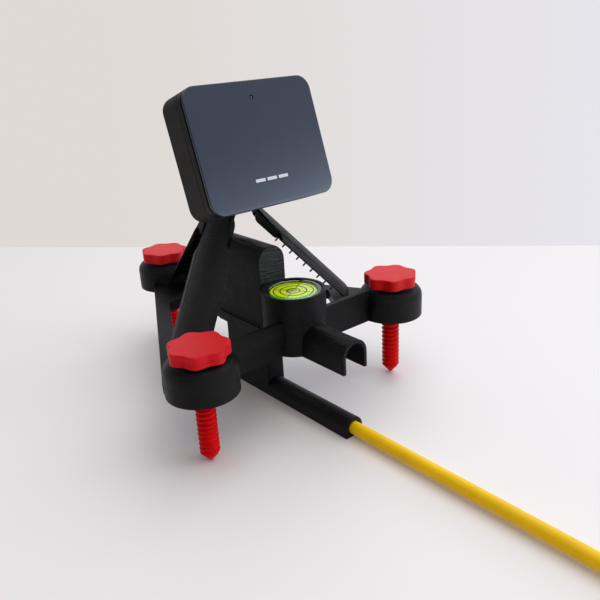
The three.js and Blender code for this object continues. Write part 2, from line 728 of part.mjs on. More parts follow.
function ballStud() {
  const profile = [[0, -5.2], [2, -5.2], [3.1, -4.2], [3.1, 0.6], [7.6, 0.6], [7.6, 2.2], [2.7, 3.2], [2.7, 12]];
  const shank = turned([...profile, [0, 12]], 28).applyMatrix4(turnX(-90));
  const ball = new THREE.SphereGeometry(BALL_R, 28, 18);
  return join(shank.applyMatrix4(shift(0, HEAD_BACK + 0.9, 0)), ball);
}

function studPad() {
  const from = HEAD_DEPTH + GAP;
  const at = [0, -HEAD_RISE];
  return cut(headRod(8.2, at, from, from + 0.9, 32), headRod(3.4, at, from - 1, from + 2, 24));
}

function addRadarHead() {
  const head = subgroup(part, 0, HUB_Y, BALL_Z);
  head.rotation.x = -THREE.MathUtils.degToRad(HEAD_TILT);
  const statusAt = [0, STATUS_UP];
  const plate = headLoft([[0, 0.45], [0.35, 0], [PLATE_THICK, 0]]);
  add(head, "front_plate", cut(plate, headRod(1.25, statusAt, -1, PLATE_THICK + 1)), "darkPlastic");
  add(head, "status_light", headRod(0.9, statusAt, 0.15, 3.4, 16), "clear");
  add(head, "front_bezel", frontBezel(), "darkPlastic");
  add(head, "rear_casing", rearCasing(), "rubber");
  add(head, "radar_board", headBlock(33, 25, 4.4, 6, 0, -2.4), "board");
  add(head, "radar_shield", radarShield(), "steel");
  add(head, "main_board", headBlock(33, 25, 10.2, 11.8), "board");
  add(head, "battery", headBlock(26, 9, 12.2, 18.4, -4, 13), "cell");
  add(head, "charge_port", chargePort(), "steel");
  add(head, "port_cover", portCover(), "rubber");
  add(head, "power_button", powerButton(), "rubber");
  add(head, "mount_insert", mountInsert(), "brass");
  CASE_SCREWS.forEach((at, index) => add(head, "case_screw_" + (index + 1), caseScrew(at), "steel"));
  add(head, "ball_stud", ballStud(), "steel");
  add(head, "stud_pad", studPad(), "rubber");
}

// ---- Assembly ----
add(part, "level_frame", levelFrame(), "frame");
FEET.forEach(([x, y], index) => {
  const foot = subgroup(part, x, y, 0);
  add(foot, "level_screw_" + (index + 1), levelScrew(), "red");
  add(foot, "knob_" + (index + 1), knob(), "red");
});
addLevelVial();
add(part, "rod_carrier", rodCarrier(), "frame");
addRod();
addTripod();
addBallSocket();
addRadarHead();

export default part;
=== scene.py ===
"""Looks for a radar launch monitor on a mini tripod, standing in a printed levelling frame."""

import json
import math

import bmesh
import bpy
import numpy as np
from mathutils import Matrix, Vector

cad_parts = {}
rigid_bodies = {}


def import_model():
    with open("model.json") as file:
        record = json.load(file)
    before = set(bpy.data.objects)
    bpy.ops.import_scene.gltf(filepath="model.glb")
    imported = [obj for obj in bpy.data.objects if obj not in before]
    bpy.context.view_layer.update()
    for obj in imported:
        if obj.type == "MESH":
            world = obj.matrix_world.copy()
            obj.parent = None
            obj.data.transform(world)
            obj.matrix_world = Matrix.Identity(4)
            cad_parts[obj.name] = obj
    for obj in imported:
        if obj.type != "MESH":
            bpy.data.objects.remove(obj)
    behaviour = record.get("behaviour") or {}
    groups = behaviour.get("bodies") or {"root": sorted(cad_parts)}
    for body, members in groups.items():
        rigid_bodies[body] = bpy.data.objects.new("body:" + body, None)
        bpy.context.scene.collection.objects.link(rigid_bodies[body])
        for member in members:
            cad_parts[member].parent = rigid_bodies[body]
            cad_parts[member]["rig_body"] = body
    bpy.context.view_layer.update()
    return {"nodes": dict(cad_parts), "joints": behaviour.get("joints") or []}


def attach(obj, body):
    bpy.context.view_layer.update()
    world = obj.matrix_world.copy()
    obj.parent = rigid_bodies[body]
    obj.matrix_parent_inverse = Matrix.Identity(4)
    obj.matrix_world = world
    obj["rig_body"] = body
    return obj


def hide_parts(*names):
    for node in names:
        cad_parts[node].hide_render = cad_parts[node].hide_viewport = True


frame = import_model()

MM = 0.001
joint_at = {j["name"]: Vector(j["pos_m"]) for j in frame["joints"] if "pos_m" in j}
joint_axis = {j["name"]: Vector(j["axis"]) for j in frame["joints"]}

# ---- Dimensions in millimetres, as in the CAD part ----
GAP = 0.3
SCREW_ROOT = 4.65
SCREW_CREST = 5.75
SCREW_PITCH = 3.0
SCREW_TOP = 64.5
TIP_HEIGHT = 6.0
TIP_R = 0.6
SPIGOT_R = 4.0
SPIGOT_TOP = 70.4
KNOB_LOW = 64.9
KNOB_TOP = 71.9
KNOB_R = 16.2
KNOB_WAVE = 1.1
KNOB_LOBES = 7
CUP_Y = 10.0
VIAL_LOW = 66.3
VIAL_TOP = 79.1
VIAL_R = 17.0
VIAL_INNER = 14.4
FLUID_TOP = 77.9
VIAL_FLOOR = 2.4  # thickness under the fluid
BUBBLE_AT = (-0.6, 0.8)
BUBBLE_R = 3.5
RING_RADII = (12.0, 8.0, 3.9)
RING_WIDTH = 0.6
TICK_FROM, TICK_TO = 4.4, 11.6
TICK_HALF = 0.2
ROD_R = 3.95
ROD_Z = 5.4
ROD_INNER_END = 25.0
ROD_LENGTH = 406.0
CAP_LENGTH = 16.0
CAP_R = 4.4
CAP_ROUND = 1.6
FERRULE = 8.0
FERRULE_R = 2.75
HEAD_WIDTH = 88.9
HEAD_HEIGHT = 71.1
HEAD_DEPTH = 25.4
HEAD_BACK = -16.5
HEAD_RISE = 3.4
HEAD_CORNER = 8.5
HEAD_FRONT = HEAD_BACK - HEAD_DEPTH
PLATE_THICK = 1.3
BEZEL_FROM = 2.6
BEZEL_TO = 7.2
NECK_INSET = 1.4
CASE_WALL = 2.2
CASE_ROUND = 2.4
STATUS_UP = 26.0
CASE_SCREWS = [(sx * 37.4, sz * 28.5) for sx, sz in ((-1, 1), (1, 1), (1, -1), (-1, -1))]
SLOT_DEPTH = 15.4
PORT = (-10.0, 6.5, 3.4)  # height on the head, half length, half width
BUTTON = (16.0, 5.2, 2.1)
LEG_AZIMUTHS = {"left": 210, "right": -30, "rear": 90}
LEG_SPREAD = 42.7
SHOULDER_END = 31.5
LEG_HALF = 13.2
BALL_R = 6.0
STUD_NECK_R = 2.7
MARK_ACROSS = (-8.2, 0.0, 8.2)
MARK_HALF = 3.4
MARK_LOW, MARK_HIGH = -21.4, -19.6
TOWER_FACE_HALF = 9.5  # support marks: the tower's front, above the front wall
TOWER_FACE_LOW = 62.0
TOWER_FACE_BACK = 25.0
PRINT_PASS = 0.45  # spacing of the diagonal passes on level printed faces
KNURL_PITCH = 1.9


# ---- Node materials ----
class Look:
    """A material with its Principled shader and short ways to add and link nodes."""

    RANGE_SOCKETS = ("From Min", "From Max", "To Min", "To Max")

    def __init__(self, name, color, roughness, specular=0.5, metallic=0.0, coat=0.0):
        self.material = bpy.data.materials.new(name)
        self.material.use_nodes = True
        self.tree = self.material.node_tree
        self.shader = self.tree.nodes["Principled BSDF"]
        self.color = color
        self.roughness = roughness
        self.set("Specular IOR Level", specular)
        self.set("Metallic", metallic)
        self.set("Coat Weight", coat)
        coordinates = self.node("ShaderNodeTexCoord")
        self.place = coordinates.outputs["Object"]
        self.facing = coordinates.outputs["Normal"]
        self.heights = []

    def set(self, socket, value):
        self.shader.inputs[socket].default_value = value

    def node(self, kind, **settings):
        made = self.tree.nodes.new(kind)
        for key, value in settings.items():
            setattr(made, key, value)
        return made

    def link(self, source, target):
        self.tree.links.new(source, target)

    def math(self, operation, a, b=None, clamp=False):
        made = self.node("ShaderNodeMath", operation=operation, use_clamp=clamp)
        for value, socket in zip((a, b), made.inputs):
            if isinstance(value, (int, float)):
                socket.default_value = value
            elif value is not None:
                self.link(value, socket)
        return made.outputs[0]

    def scaled(self, factors, turn=0.0):
        """Object coordinates, turned about Z by degrees and stretched."""
        made = self.node("ShaderNodeMapping")
        made.inputs["Scale"].default_value = factors
        made.inputs["Rotation"].default_value = (0, 0, math.radians(turn))
        self.link(self.place, made.inputs["Vector"])
        return made.outputs[0]

    def noise(self, scale, detail=3.0, place=None, rough=0.55):
        made = self.node("ShaderNodeTexNoise")
        made.inputs["Scale"].default_value = scale
        made.inputs["Detail"].default_value = detail
        made.inputs["Roughness"].default_value = rough
        self.link(place or self.place, made.inputs["Vector"])
        return made.outputs["Fac"]

    def axis(self, name, place=None):
        made = self.node("ShaderNodeSeparateXYZ")
        self.link(place or self.place, made.inputs[0])
        return made.outputs[name]

    def ranged(self, value, low, high, from_low=0.3, from_high=0.7):
        made = self.node("ShaderNodeMapRange")
        for key, number in zip(self.RANGE_SOCKETS, (from_low, from_high, low, high)):
            made.inputs[key].default_value = number
        self.link(value, made.inputs["Value"])
        return made.outputs[0]

    def mixed(self, factor, a, b):
        made = self.node("ShaderNodeMix", data_type="RGBA")
        if isinstance(factor, (int, float)):
            made.inputs[0].default_value = factor
        else:
            self.link(factor, made.inputs[0])
        for value, socket in ((a, made.inputs[6]), (b, made.inputs[7])):
            if isinstance(value, tuple):
                socket.default_value = (*value, 1)
            else:
                self.link(value, socket)
        return made.outputs[2]

    def mottle(self, scale, spread, rough_spread=0.06, place=None):
        """Colour and roughness that wander gently about their middle values."""
        low = tuple(c * (1 - spread) for c in self.color)
        high = tuple(min(c * (1 + spread), 1) for c in self.color)
        wander = self.ranged(self.noise(scale, place=place), 0, 1)
        self.link(self.mixed(wander, low, high), self.shader.inputs["Base Color"])
        varied = self.ranged(
            self.noise(scale * 2.7, 4), self.roughness - rough_spread, self.roughness + rough_spread
        )
        self.link(varied, self.shader.inputs["Roughness"])
        return self

    def height(self, value, amount):
        """Adds a height in millimetres to the bump."""
        self.heights.append(self.math("MULTIPLY", value, amount))
        return self

    def done(self):
        if self.heights:
            total = self.heights[0]
            for other in self.heights[1:]:
                total = self.math("ADD", total, other)
            bump = self.node("ShaderNodeBump")
            bump.inputs["Strength"].default_value = 1.0
            bump.inputs["Distance"].default_value = MM
            self.link(total, bump.inputs["Height"])
            self.link(bump.outputs[0], self.shader.inputs["Normal"])
        return self.material


def printed(name, color, roughness, layer, depth, specular, spread=0.12):
    """Printed plastic: layer lines round the sides and diagonal passes on level faces."""
    look = Look(name, color, roughness, specular)
    look.mottle(55, spread, 0.05, look.scaled((0.3, 0.3, 20)))
    up = look.math("ABSOLUTE", look.axis("Z", look.facing))
    level = look.math("GREATER_THAN", up, 0.92)
    side = look.math("SUBTRACT", 1.0, level)
    line = look.math("SINE", look.math("MULTIPLY", look.axis("Z"), 2 * math.pi / (layer * MM)))
    look.height(look.math("MULTIPLY", line, side), depth)
    look.height(look.math("MULTIPLY", look.noise(60, 2, look.scaled((0.3, 0.3, 20))), side), depth * 6)
    across = look.axis("X", look.scaled((1, 1, 1), 45))
    passes = look.math("SINE", look.math("MULTIPLY", across, 2 * math.pi / (PRINT_PASS * MM)))
    look.height(look.math("MULTIPLY", passes, level), depth)
    look.height(look.noise(2600, 2), depth * 0.8)
    return look.done()


def moulded(name, color, roughness, grain=0.02, scale=2200, specular=0.5, spread=0.1, wear=0.06):
    look = Look(name, color, roughness, specular).mottle(45, spread, wear)
    look.height(look.noise(scale, 2), grain)
    look.height(look.noise(120, 3), grain * 1.5)
    return look.done()


def knurled(name, color, roughness):
    """Moulded plastic with a fine diamond pattern, from the leg's own coordinates."""
    look = Look(name, color, roughness, 0.3).mottle(60, 0.14)
    uv = look.node("ShaderNodeUVMap", uv_map="leg")
    across, along = look.axis("X", uv.outputs[0]), look.axis("Y", uv.outputs[0])
    turns = 2 * math.pi / KNURL_PITCH
    both = [look.math(operation, across, along) for operation in ("ADD", "SUBTRACT")]
    waves = [look.math("SINE", look.math("MULTIPLY", direction, turns)) for direction in both]
    diamonds = look.math("MULTIPLY", *waves)
    look.height(diamonds, 0.2)
    look.height(look.noise(2400, 2), 0.02)
    return look.done()


def scarred(name, color, roughness):
    """Printed face that was bridged over supports, with short torn strands across it."""
    look = Look(name, color, roughness, 0.4).mottle(160, 0.3, 0.1)
    strands = look.ranged(look.noise(330, 4, look.scaled((0.45, 1, 2.4)), 0.6), 0, 1, 0.42, 0.62)
    look.height(strands, 0.3)
    look.height(look.noise(1500, 3), 0.06)
    return look.done()


def metal(name, color, roughness):
    look = Look(name, color, roughness, metallic=1.0).mottle(90, 0.08, 0.08)
    look.height(look.noise(900, 2, look.scaled((1, 1, 14))), 0.012)
    return look.done()


BLACK_PRINT = printed("frame_print", (0.002, 0.002, 0.0025), 0.4, 0.42, 0.07, 0.16, 0.6)
SCARRED_PRINT = scarred("support_scars", (0.006, 0.0062, 0.0072), 0.42)
CARRIER_PRINT = printed("carrier_print", (0.002, 0.002, 0.0024), 0.4, 0.42, 0.07, 0.16, 0.6)
RED_PRINT = printed("red_print", (0.66, 0.003, 0.008), 0.42, 0.24, 0.024, 0.2)
RED_THREAD = printed("red_thread_print", (0.72, 0.002, 0.004), 0.42, 0.24, 0.015, 0.08)
FACE = moulded("face_satin", (0.023, 0.034, 0.058), 0.235, 0.0004, 3000, 0.5, 0.03, 0.012)
BEZEL = moulded("bezel_satin", (0.005, 0.005, 0.0055), 0.42, 0.008, 2500, 0.15)
CASE = moulded("case_overmould", (0.025, 0.0232, 0.0225), 0.62, 0.03, 1700, 0.14)
SEAL = moulded("seal_rubber", (0.012, 0.0115, 0.0115), 0.75, 0.03, 1500, 0.18)
LEG = moulded("leg_plastic", (0.0024, 0.0024, 0.003), 0.34, 0.015, 2300, 0.14)
KNURL = knurled("leg_knurl", (0.003, 0.003, 0.0036), 0.4)
HUB = moulded("hub_plastic", (0.003, 0.003, 0.0038), 0.42, 0.015, 2300, 0.16)
CAP = moulded("rod_cap_vinyl", (0.012, 0.012, 0.013), 0.5, 0.02, 1200, 0.3)
BOARD = moulded("board_mask", (0.012, 0.11, 0.04), 0.35, 0.01, 1500)
CELL = moulded("cell_wrap", (0.3, 0.33, 0.37), 0.35, 0.03, 400)
STEEL = metal("zinc_steel", (0.5, 0.51, 0.53), 0.3)
TIN = metal("tinned_sheet", (0.62, 0.63, 0.64), 0.35)
BRASS = metal("brass", (0.66, 0.48, 0.2), 0.3)
MARKING = moulded("marking_ink", (0.62, 0.64, 0.68), 0.5, 0.004, 3000, spread=0.04)


def rod_look():
    look = Look("rod_gloss", (0.9, 0.56, 0.0), 0.36, 0.22, coat=0.05).mottle(35, 0.07, 0.05)
    look.set("Coat Roughness", 0.12)
    look.height(look.noise(300, 3, look.scaled((6, 0.25, 6))), 0.03)
    look.height(look.noise(1800, 2), 0.006)
    return look.done()


def vial_look(name, color, painted_glow):
    """Dyed plastic or fluid that glows a little: the emission is painted light, standing in for light
    reaching it from all sides.
    """
    look = Look(name, color, 0.25, 0.5, coat=0.5).mottle(120, 0.1, 0.04)
    # Painted glow: emission in the look's own colour, though the part is no lamp.
    look.set("Emission Color", (*color, 1))
    look.set("Emission Strength", painted_glow)
    look.height(look.noise(500, 2), 0.01)
    return look.done()


def clear_look(name, tint, veil=0.0):
    """Clear plastic: what is behind it shows through, under the gloss of its own surface."""
    look = Look(name, tint, 0.1)
    see = look.node("ShaderNodeBsdfTransparent")
    look.link(look.mixed(look.noise(150), tint, tuple(c * 0.92 for c in tint)), see.inputs["Color"])
    gloss = look.node("ShaderNodeBsdfGlossy")
    look.link(look.ranged(look.noise(400, 2), 0.04, 0.14), gloss.inputs["Roughness"])
    fresnel = look.node("ShaderNodeFresnel")
    fresnel.inputs["IOR"].default_value = 1.22
    outside = look.math("SUBTRACT", 1.0, look.node("ShaderNodeNewGeometry").outputs["Backfacing"])
    shine = look.math("MULTIPLY", look.math("ADD", fresnel.outputs[0], veil, clamp=True), outside)
    blend = look.node("ShaderNodeMixShader")
    look.link(shine, blend.inputs[0])
    look.link(see.outputs[0], blend.inputs[1])
    look.link(gloss.outputs[0], blend.inputs[2])
    look.tree.nodes.remove(look.shader)
    look.link(blend.outputs[0], look.tree.nodes["Material Output"].inputs["Surface"])
    return look.material


ROD = rod_look()
# The green vial look and the fluid look both carry a painted glow from their emission.
VIAL_GREEN = vial_look("vial_green", (0.03, 0.42, 0.16), 0.06)
FLUID = vial_look("vial_fluid", (0.72, 0.84, 0.005), 0.28)
RING_INK = moulded("ring_ink", (0.004, 0.008, 0.003), 0.5, 0.004, 3000, 0.1)
CLEAR = clear_look("clear_acrylic", (0.95, 0.98, 0.96))
CLEAR_GREEN = clear_look("green_acrylic", (0.45, 0.9, 0.6), 0.2)
BUBBLE = clear_look("bubble_skin", (0.9, 0.95, 0.7), 0.12)
LIGHT = clear_look("status_lens", (0.35, 0.37, 0.4), 0.1)


# ---- Mesh tools ----
def shade(obj, angle=32):
    """Smooth faces with sharp edges above the angle in degrees, and normals that favour large faces."""
    mesh = obj.data
    bm = bmesh.new()
    bm.from_mesh(mesh)
    for face in bm.faces:
        face.smooth = True
    limit = math.radians(angle)
    for edge in bm.edges:
        edge.smooth = len(edge.link_faces) == 2 and edge.calc_face_angle(math.pi) < limit
    bm.to_mesh(mesh)
    bm.free()
    weighted = obj.modifiers.new("weighted_normals", "WEIGHTED_NORMAL")
    weighted.keep_sharp = True


def piece(name, mesh, node, *materials, replaces=True, angle=32):
    """Object on the body and in the slot of a CAD node, which it may replace."""
    obj = bpy.data.objects.new(name, mesh)
    bpy.context.scene.collection.objects.link(obj)
    for material in materials:
        mesh.materials.append(material)
    shade(obj, angle)
    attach(obj, frame["nodes"][node]["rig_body"])
    if replaces:
        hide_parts(node)
    return obj


def around(radius, z, sides):
    """Ring of points about Z."""
    turns = [2 * math.pi * i / sides for i in range(sides)]
    return [(radius * math.cos(t), radius * math.sin(t), z) for t in turns]


def from_rings(name, rings, closed=False, matrix=None):
    """Mesh through rings of equal length in mm, capped at both ends or closed on itself."""
    count = len(rings[0])
    bm = bmesh.new()
    rows = [[bm.verts.new(Vector(p) * MM) for p in ring] for ring in rings]
    pairs = list(zip(rows, rows[1:] + rows[:1])) if closed else list(zip(rows, rows[1:]))
    for a, b in pairs:
        for i in range(count):
            j = (i + 1) % count
            bm.faces.new((a[i], a[j], b[j], b[i]))
    if not closed:
        for row in (rows[0], rows[-1]):
            middle = bm.verts.new(sum((v.co for v in row), Vector()) / count)
            for i in range(count):
                bm.faces.new((middle, row[i], row[(i + 1) % count]))
    bmesh.ops.remove_doubles(bm, verts=bm.verts, dist=1e-7)
    bmesh.ops.recalc_face_normals(bm, faces=bm.faces)
    if matrix is not None:
        bm.transform(matrix)
    mesh = bpy.data.meshes.new(name)
    bm.to_mesh(mesh)
    bm.free()
    return mesh


def lathe(name, profile, sides=64, matrix=None):
    """Body turned about Z from [radius, height] points in mm, closed by caps at its ends."""
    return from_rings(name, [around(r, z, sides) for r, z in profile], matrix=matrix)


def quarter(radius, steps):
    """Offsets round a quarter circle: how far in and how far up, from the side to the top."""
    turns = [math.pi / 2 * i / steps for i in range(steps + 1)]
    return [(radius * (1 - math.cos(t)), radius * math.sin(t)) for t in turns]


def carve(mesh, cutters):
    """Cuts closed meshes out of another, and returns the result as a new mesh."""
    holder = bpy.data.objects.new("holder", mesh)
    bpy.context.scene.collection.objects.link(holder)
    tools = []
    for cutter in cutters:
        tool = bpy.data.objects.new("tool", cutter)
        bpy.context.scene.collection.objects.link(tool)
        modifier = holder.modifiers.new("cut", "BOOLEAN")
        modifier.operation = "DIFFERENCE"
        modifier.solver = "EXACT"
        modifier.object = tool
        tools.append(tool)
    bpy.context.view_layer.update()
    result = bpy.data.meshes.new_from_object(holder.evaluated_get(bpy.context.evaluated_depsgraph_get()))
    for obj in [holder, *tools]:
        bpy.data.objects.remove(obj)
    return result


def soft_block(name, low, high, radius, matrix):
    """Box with rounded edges between two corners in mm."""
    bm = bmesh.new()
    bmesh.ops.create_cube(bm, size=1)
    size = Vector(high) - Vector(low)
    middle = (Vector(high) + Vector(low)) / 2
    for v in bm.verts:
        v.co = Vector(v.co[i] * size[i] + middle[i] for i in range(3)) * MM
    bmesh.ops.bevel(
        bm, geom=bm.edges[:], offset=radius * MM, offset_type="OFFSET", segments=4, profile=0.5,
        affect="EDGES",
    )
    bm.transform(matrix)
    mesh = bpy.data.meshes.new(name)
    bm.to_mesh(mesh)
    bm.free()
    return mesh


def refined(node, bevel, *materials, sharp=30):
    """A copy of a CAD node's surface with its convex edges rounded."""
    source = frame["nodes"][node]
    bm = bmesh.new()
    bm.from_mesh(source.data)
    bmesh.ops.remove_doubles(bm, verts=bm.verts, dist=2e-6)
    bmesh.ops.dissolve_degenerate(bm, edges=bm.edges, dist=1e-6)
    bmesh.ops.dissolve_limit(bm, angle_limit=math.radians(0.6), verts=bm.verts, edges=bm.edges)
    width = bevel * MM
    chosen = [
        edge
        for edge in bm.edges
        if len(edge.link_faces) == 2
        and edge.is_convex
        and edge.calc_face_angle(0) > math.radians(sharp)
        and edge.calc_length() > width * 0.9
        and min(face.calc_area() for face in edge.link_faces) > width * width * 2
    ]
    bmesh.ops.bevel(
        bm, geom=chosen, offset=width, offset_type="OFFSET", segments=2, profile=0.5,
        affect="EDGES", clamp_overlap=False, miter_outer="ARC",
    )
    bmesh.ops.remove_doubles(bm, verts=bm.verts, dist=1e-6)
    mesh = bpy.data.meshes.new(node + "_surface")
    bm.to_mesh(mesh)
    bm.free()
    return piece(node + "_skin", mesh, node, *materials)


# ---- Levelling frame and rod carrier ----
printed_frame = refined("level_frame", 0.35, BLACK_PRINT, SCARRED_PRINT)
for face in printed_frame.data.polygons:
    across, back, height = face.center / MM
    on_tower = abs(across) < TOWER_FACE_HALF and height > TOWER_FACE_LOW and back > TOWER_FACE_BACK
    face.material_index = 1 if face.normal.y < -0.95 and on_tower else 0
refined("rod_carrier", 0.4, CARRIER_PRINT)


# ---- Levelling screws and knobs ----
def thread_radius(angle, z):
    """Trapezoid thread with a right-hand helix, tapering into the pointed tip."""
    turn = ((z / SCREW_PITCH) - angle / (2 * math.pi)) % 1
    rise = min(max((0.5 - abs(turn - 0.5)) * 4 - 0.55, 0), 1)
    rise = rise * rise * (3 - 2 * rise)
    radius = SCREW_ROOT + (SCREW_CREST - SCREW_ROOT) * rise
    tip = TIP_R + (SCREW_CREST - TIP_R) * z / TIP_HEIGHT
    return min(radius, tip)


def screw_mesh(name, x, y):
    sides = 48
    rows = 216
    first = 0.08
    rings = [around(0.15, 0, sides)]
    for k in range(rows + 1):
        z = first + (SCREW_TOP - first) * k / rows
        ring = []
        for i in range(sides):
            angle = 2 * math.pi * i / sides
            radius = thread_radius(angle, z)
            ring.append((radius * math.cos(angle), radius * math.sin(angle), z))
        rings.append(ring)
    for radius, z in ((SPIGOT_R, SCREW_TOP), (SPIGOT_R, SPIGOT_TOP - 0.3), (SPIGOT_R - 0.3, SPIGOT_TOP)):
        rings.append(around(radius, z, sides))
    return from_rings(name, rings, matrix=Matrix.Translation((x * MM, y * MM, 0)))


def lobed(inset, z, wave=KNOB_WAVE):
    """Outline of a knob at one height, drawn in by an inset."""
    count = KNOB_LOBES * 16
    ring = []
    for i in range(count):
        angle = 2 * math.pi * i / count
        radius = KNOB_R - inset - wave * math.cos(KNOB_LOBES * angle)
        ring.append((radius * math.cos(angle), radius * math.sin(angle), z))
    return ring


def knob_mesh(name, x, y):
    edge = 0.8
    soft = 0.35
    bore = KNOB_R - SPIGOT_R - GAP
    rings = [lobed(bore, SPIGOT_TOP + GAP, 0), lobed(bore, KNOB_LOW, 0)]
    rings += [lobed(inward, KNOB_LOW + soft - up) for inward, up in reversed(quarter(soft, 3))]
    rings += [lobed(inward, KNOB_TOP - edge + up) for inward, up in quarter(edge, 5)]
    rings += [lobed(3, KNOB_TOP), lobed(9, KNOB_TOP, KNOB_WAVE * 0.4), lobed(15, KNOB_TOP, 0)]
    return from_rings(name, rings, matrix=Matrix.Translation((x * MM, y * MM, 0)))


for number in (1, 2, 3):
    at = joint_at[f"knob_{number}_turn"] / MM
    screw, turner = f"level_screw_{number}", f"knob_{number}"
    piece(screw + "_thread", screw_mesh(screw, at.x, at.y), screw, RED_THREAD, angle=60)
    piece(turner + "_body", knob_mesh(turner, at.x, at.y), turner, RED_PRINT, angle=40)

# ---- Bullseye level ----
at_cup = Matrix.Translation((0, CUP_Y * MM, 0))


def cup_ring(name, radius, width, z, thick=0.06):
    """Flat printed ring on the fluid's face."""
    inner, outer = radius - width / 2, radius + width / 2
    profile = [(inner, z), (outer, z), (outer, z + thick), (inner, z + thick)]
    return from_rings(name, [around(r, h, 96) for r, h in profile], closed=True, matrix=at_cup)


ARC = (0, 0.4, 0.8, 1.2, 1.57)  # turns round a small edge, in radians
vial_round = 0.6
shell_floor = VIAL_LOW + VIAL_FLOOR
vial_profile = [(0, shell_floor), (VIAL_INNER, shell_floor), (VIAL_INNER, VIAL_TOP - 0.3)]
vial_profile += [(VIAL_INNER + 0.3, VIAL_TOP)]
vial_profile += [
    (VIAL_R - vial_round + vial_round * math.sin(t), VIAL_TOP - vial_round + vial_round * math.cos(t))
    for t in ARC
]
vial_profile += [(VIAL_R, VIAL_LOW + 0.4), (VIAL_R - 0.4, VIAL_LOW), (0, VIAL_LOW)]
piece("vial_shell", lathe("vial_shell", vial_profile, 96, at_cup), "vial_body", CLEAR_GREEN)

fluid_r = VIAL_INNER - GAP
fluid_low = shell_floor + GAP
fluid_profile = [(0, fluid_low), (fluid_r, fluid_low), (fluid_r, FLUID_TOP - 0.2)]
fluid_profile += [(fluid_r - 0.3, FLUID_TOP), (fluid_r - 6, FLUID_TOP), (0, FLUID_TOP)]
liquid = lathe("vial_liquid", fluid_profile, 96, at_cup)
piece("vial_liquid", liquid, "vial_fluid", FLUID, VIAL_GREEN)
# Side faces take the green look, which glows by its emission as painted light.
for face in liquid.polygons:
    face.material_index = 1 if abs(face.normal.z) < 0.5 else 0

for ring_number, radius in enumerate(RING_RADII, 1):
    ring_mesh = cup_ring("ring", radius, RING_WIDTH, FLUID_TOP + 0.02)
    piece(f"vial_ring_{ring_number}", ring_mesh, "vial_body", RING_INK, replaces=False)
for turn in range(4):
    spoke = at_cup @ Matrix.Rotation(math.pi / 2 * (turn + 0.35), 4, "Z")
    low = (TICK_FROM, -TICK_HALF, FLUID_TOP + 0.01)
    high = (TICK_TO, TICK_HALF, FLUID_TOP + 0.07)
    tick = soft_block("tick", low, high, 0.02, spoke)
    piece(f"vial_tick_{turn + 1}", tick, "vial_body", RING_INK, replaces=False)

at_bubble = Matrix.Translation((BUBBLE_AT[0] * MM, (CUP_Y + BUBBLE_AT[1]) * MM, 0))
bubble_profile = [(0, FLUID_TOP + 0.04), (BUBBLE_R - 0.1, FLUID_TOP + 0.04)]
bubble_profile += [
    (BUBBLE_R * math.cos(t), FLUID_TOP + 0.08 + 0.16 * math.sin(t)) for t in (0.2, 0.5, 0.8, 1.1, 1.4)
]
bubble_profile += [(0, FLUID_TOP + 0.25)]
bubble = lathe("bubble_dome", bubble_profile, 64, at_bubble)
piece("bubble_dome", bubble, "vial_bubble", BUBBLE, angle=60)

lens_low = FLUID_TOP + GAP
lens_rise = 0.5
lens_edge = VIAL_TOP - lens_rise
lens_profile = [(0, lens_low), (fluid_r, lens_low), (fluid_r, lens_edge)]
lens_profile += [
    (fluid_r * math.cos(t), lens_edge + lens_rise * math.sin(t)) for t in (0.25, 0.5, 0.8, 1.1, 1.35)
]
lens_profile += [(0, VIAL_TOP)]
piece("vial_window", lathe("vial_window", lens_profile, 96, at_cup), "vial_lens", CLEAR, angle=50)

# ---- Alignment rod ----
along_rod = Matrix.Translation((0, 0, ROD_Z * MM)) @ Matrix.Rotation(math.radians(-90), 4, "X")
outer_end = ROD_INNER_END - ROD_LENGTH
rod_profile = [(FERRULE_R, outer_end + 1), (FERRULE_R, outer_end + FERRULE)]
rod_profile += [(ROD_R, outer_end + FERRULE)]
rod_profile += [(ROD_R, y) for y in np.linspace(outer_end + FERRULE + 1, ROD_INNER_END - 0.5, 24)]
rod_profile += [(ROD_R - 0.4, ROD_INNER_END)]
shaft = lathe("rod_shaft", rod_profile, 64, along_rod)
piece("rod_shaft", shaft, "alignment_rod", ROD, angle=40)

cap_mouth = outer_end + CAP_LENGTH
cap_step = outer_end + FERRULE - GAP
cap_bore = ROD_R + 0.2
cap_floor = outer_end + 0.8
cap_profile = [(0, outer_end)]
cap_profile += [
    (CAP_R - CAP_ROUND + CAP_ROUND * math.sin(t), outer_end + CAP_ROUND - CAP_ROUND * math.cos(t))
    for t in ARC
]
cap_profile += [(CAP_R, cap_mouth - 0.3), (CAP_R - 0.15, cap_mouth), (cap_bore, cap_mouth)]
cap_profile += [(cap_bore, cap_step), (FERRULE_R + 0.15, cap_step)]
cap_profile += [(FERRULE_R + 0.15, cap_floor), (0, cap_floor)]
piece("rod_tip", lathe("rod_tip", cap_profile, 64, along_rod), "rod_end_cap", CAP, angle=40)


# ---- Tripod ----
def leg_matrix(side):
    """From a leg's own frame, hanging along -Z with +Y outwards, to the row frame."""
    turn = Matrix.Rotation(math.radians(LEG_AZIMUTHS[side] - 90), 4, "Z")
    lean = Matrix.Rotation(math.radians(LEG_SPREAD), 4, "X")
    return Matrix.Translation(joint_at[f"leg_{side}_fold"]) @ turn @ lean


def dress_leg(obj, side):
    """Leg coordinates in mm as a UV map, and the knurled look on the wide outer face."""
    inverse = leg_matrix(side).inverted()
    mesh = obj.data
    layer = mesh.uv_layers.new(name="leg")
    local = [inverse @ v.co / MM for v in mesh.vertices]
    turn = inverse.to_3x3()
    for face in mesh.polygons:
        normal = turn @ face.normal
        middle = inverse @ face.center / MM
        on_pad = middle.z < -SHOULDER_END and abs(middle.x) < LEG_HALF - 0.6
        faces_out = normal.y > 0.45 and middle.y > -3
        face.material_index = 1 if on_pad and faces_out else 0
        for corner in face.loop_indices:
            place = local[mesh.loops[corner].vertex_index]
            layer.data[corner].uv = (place.x, place.z)


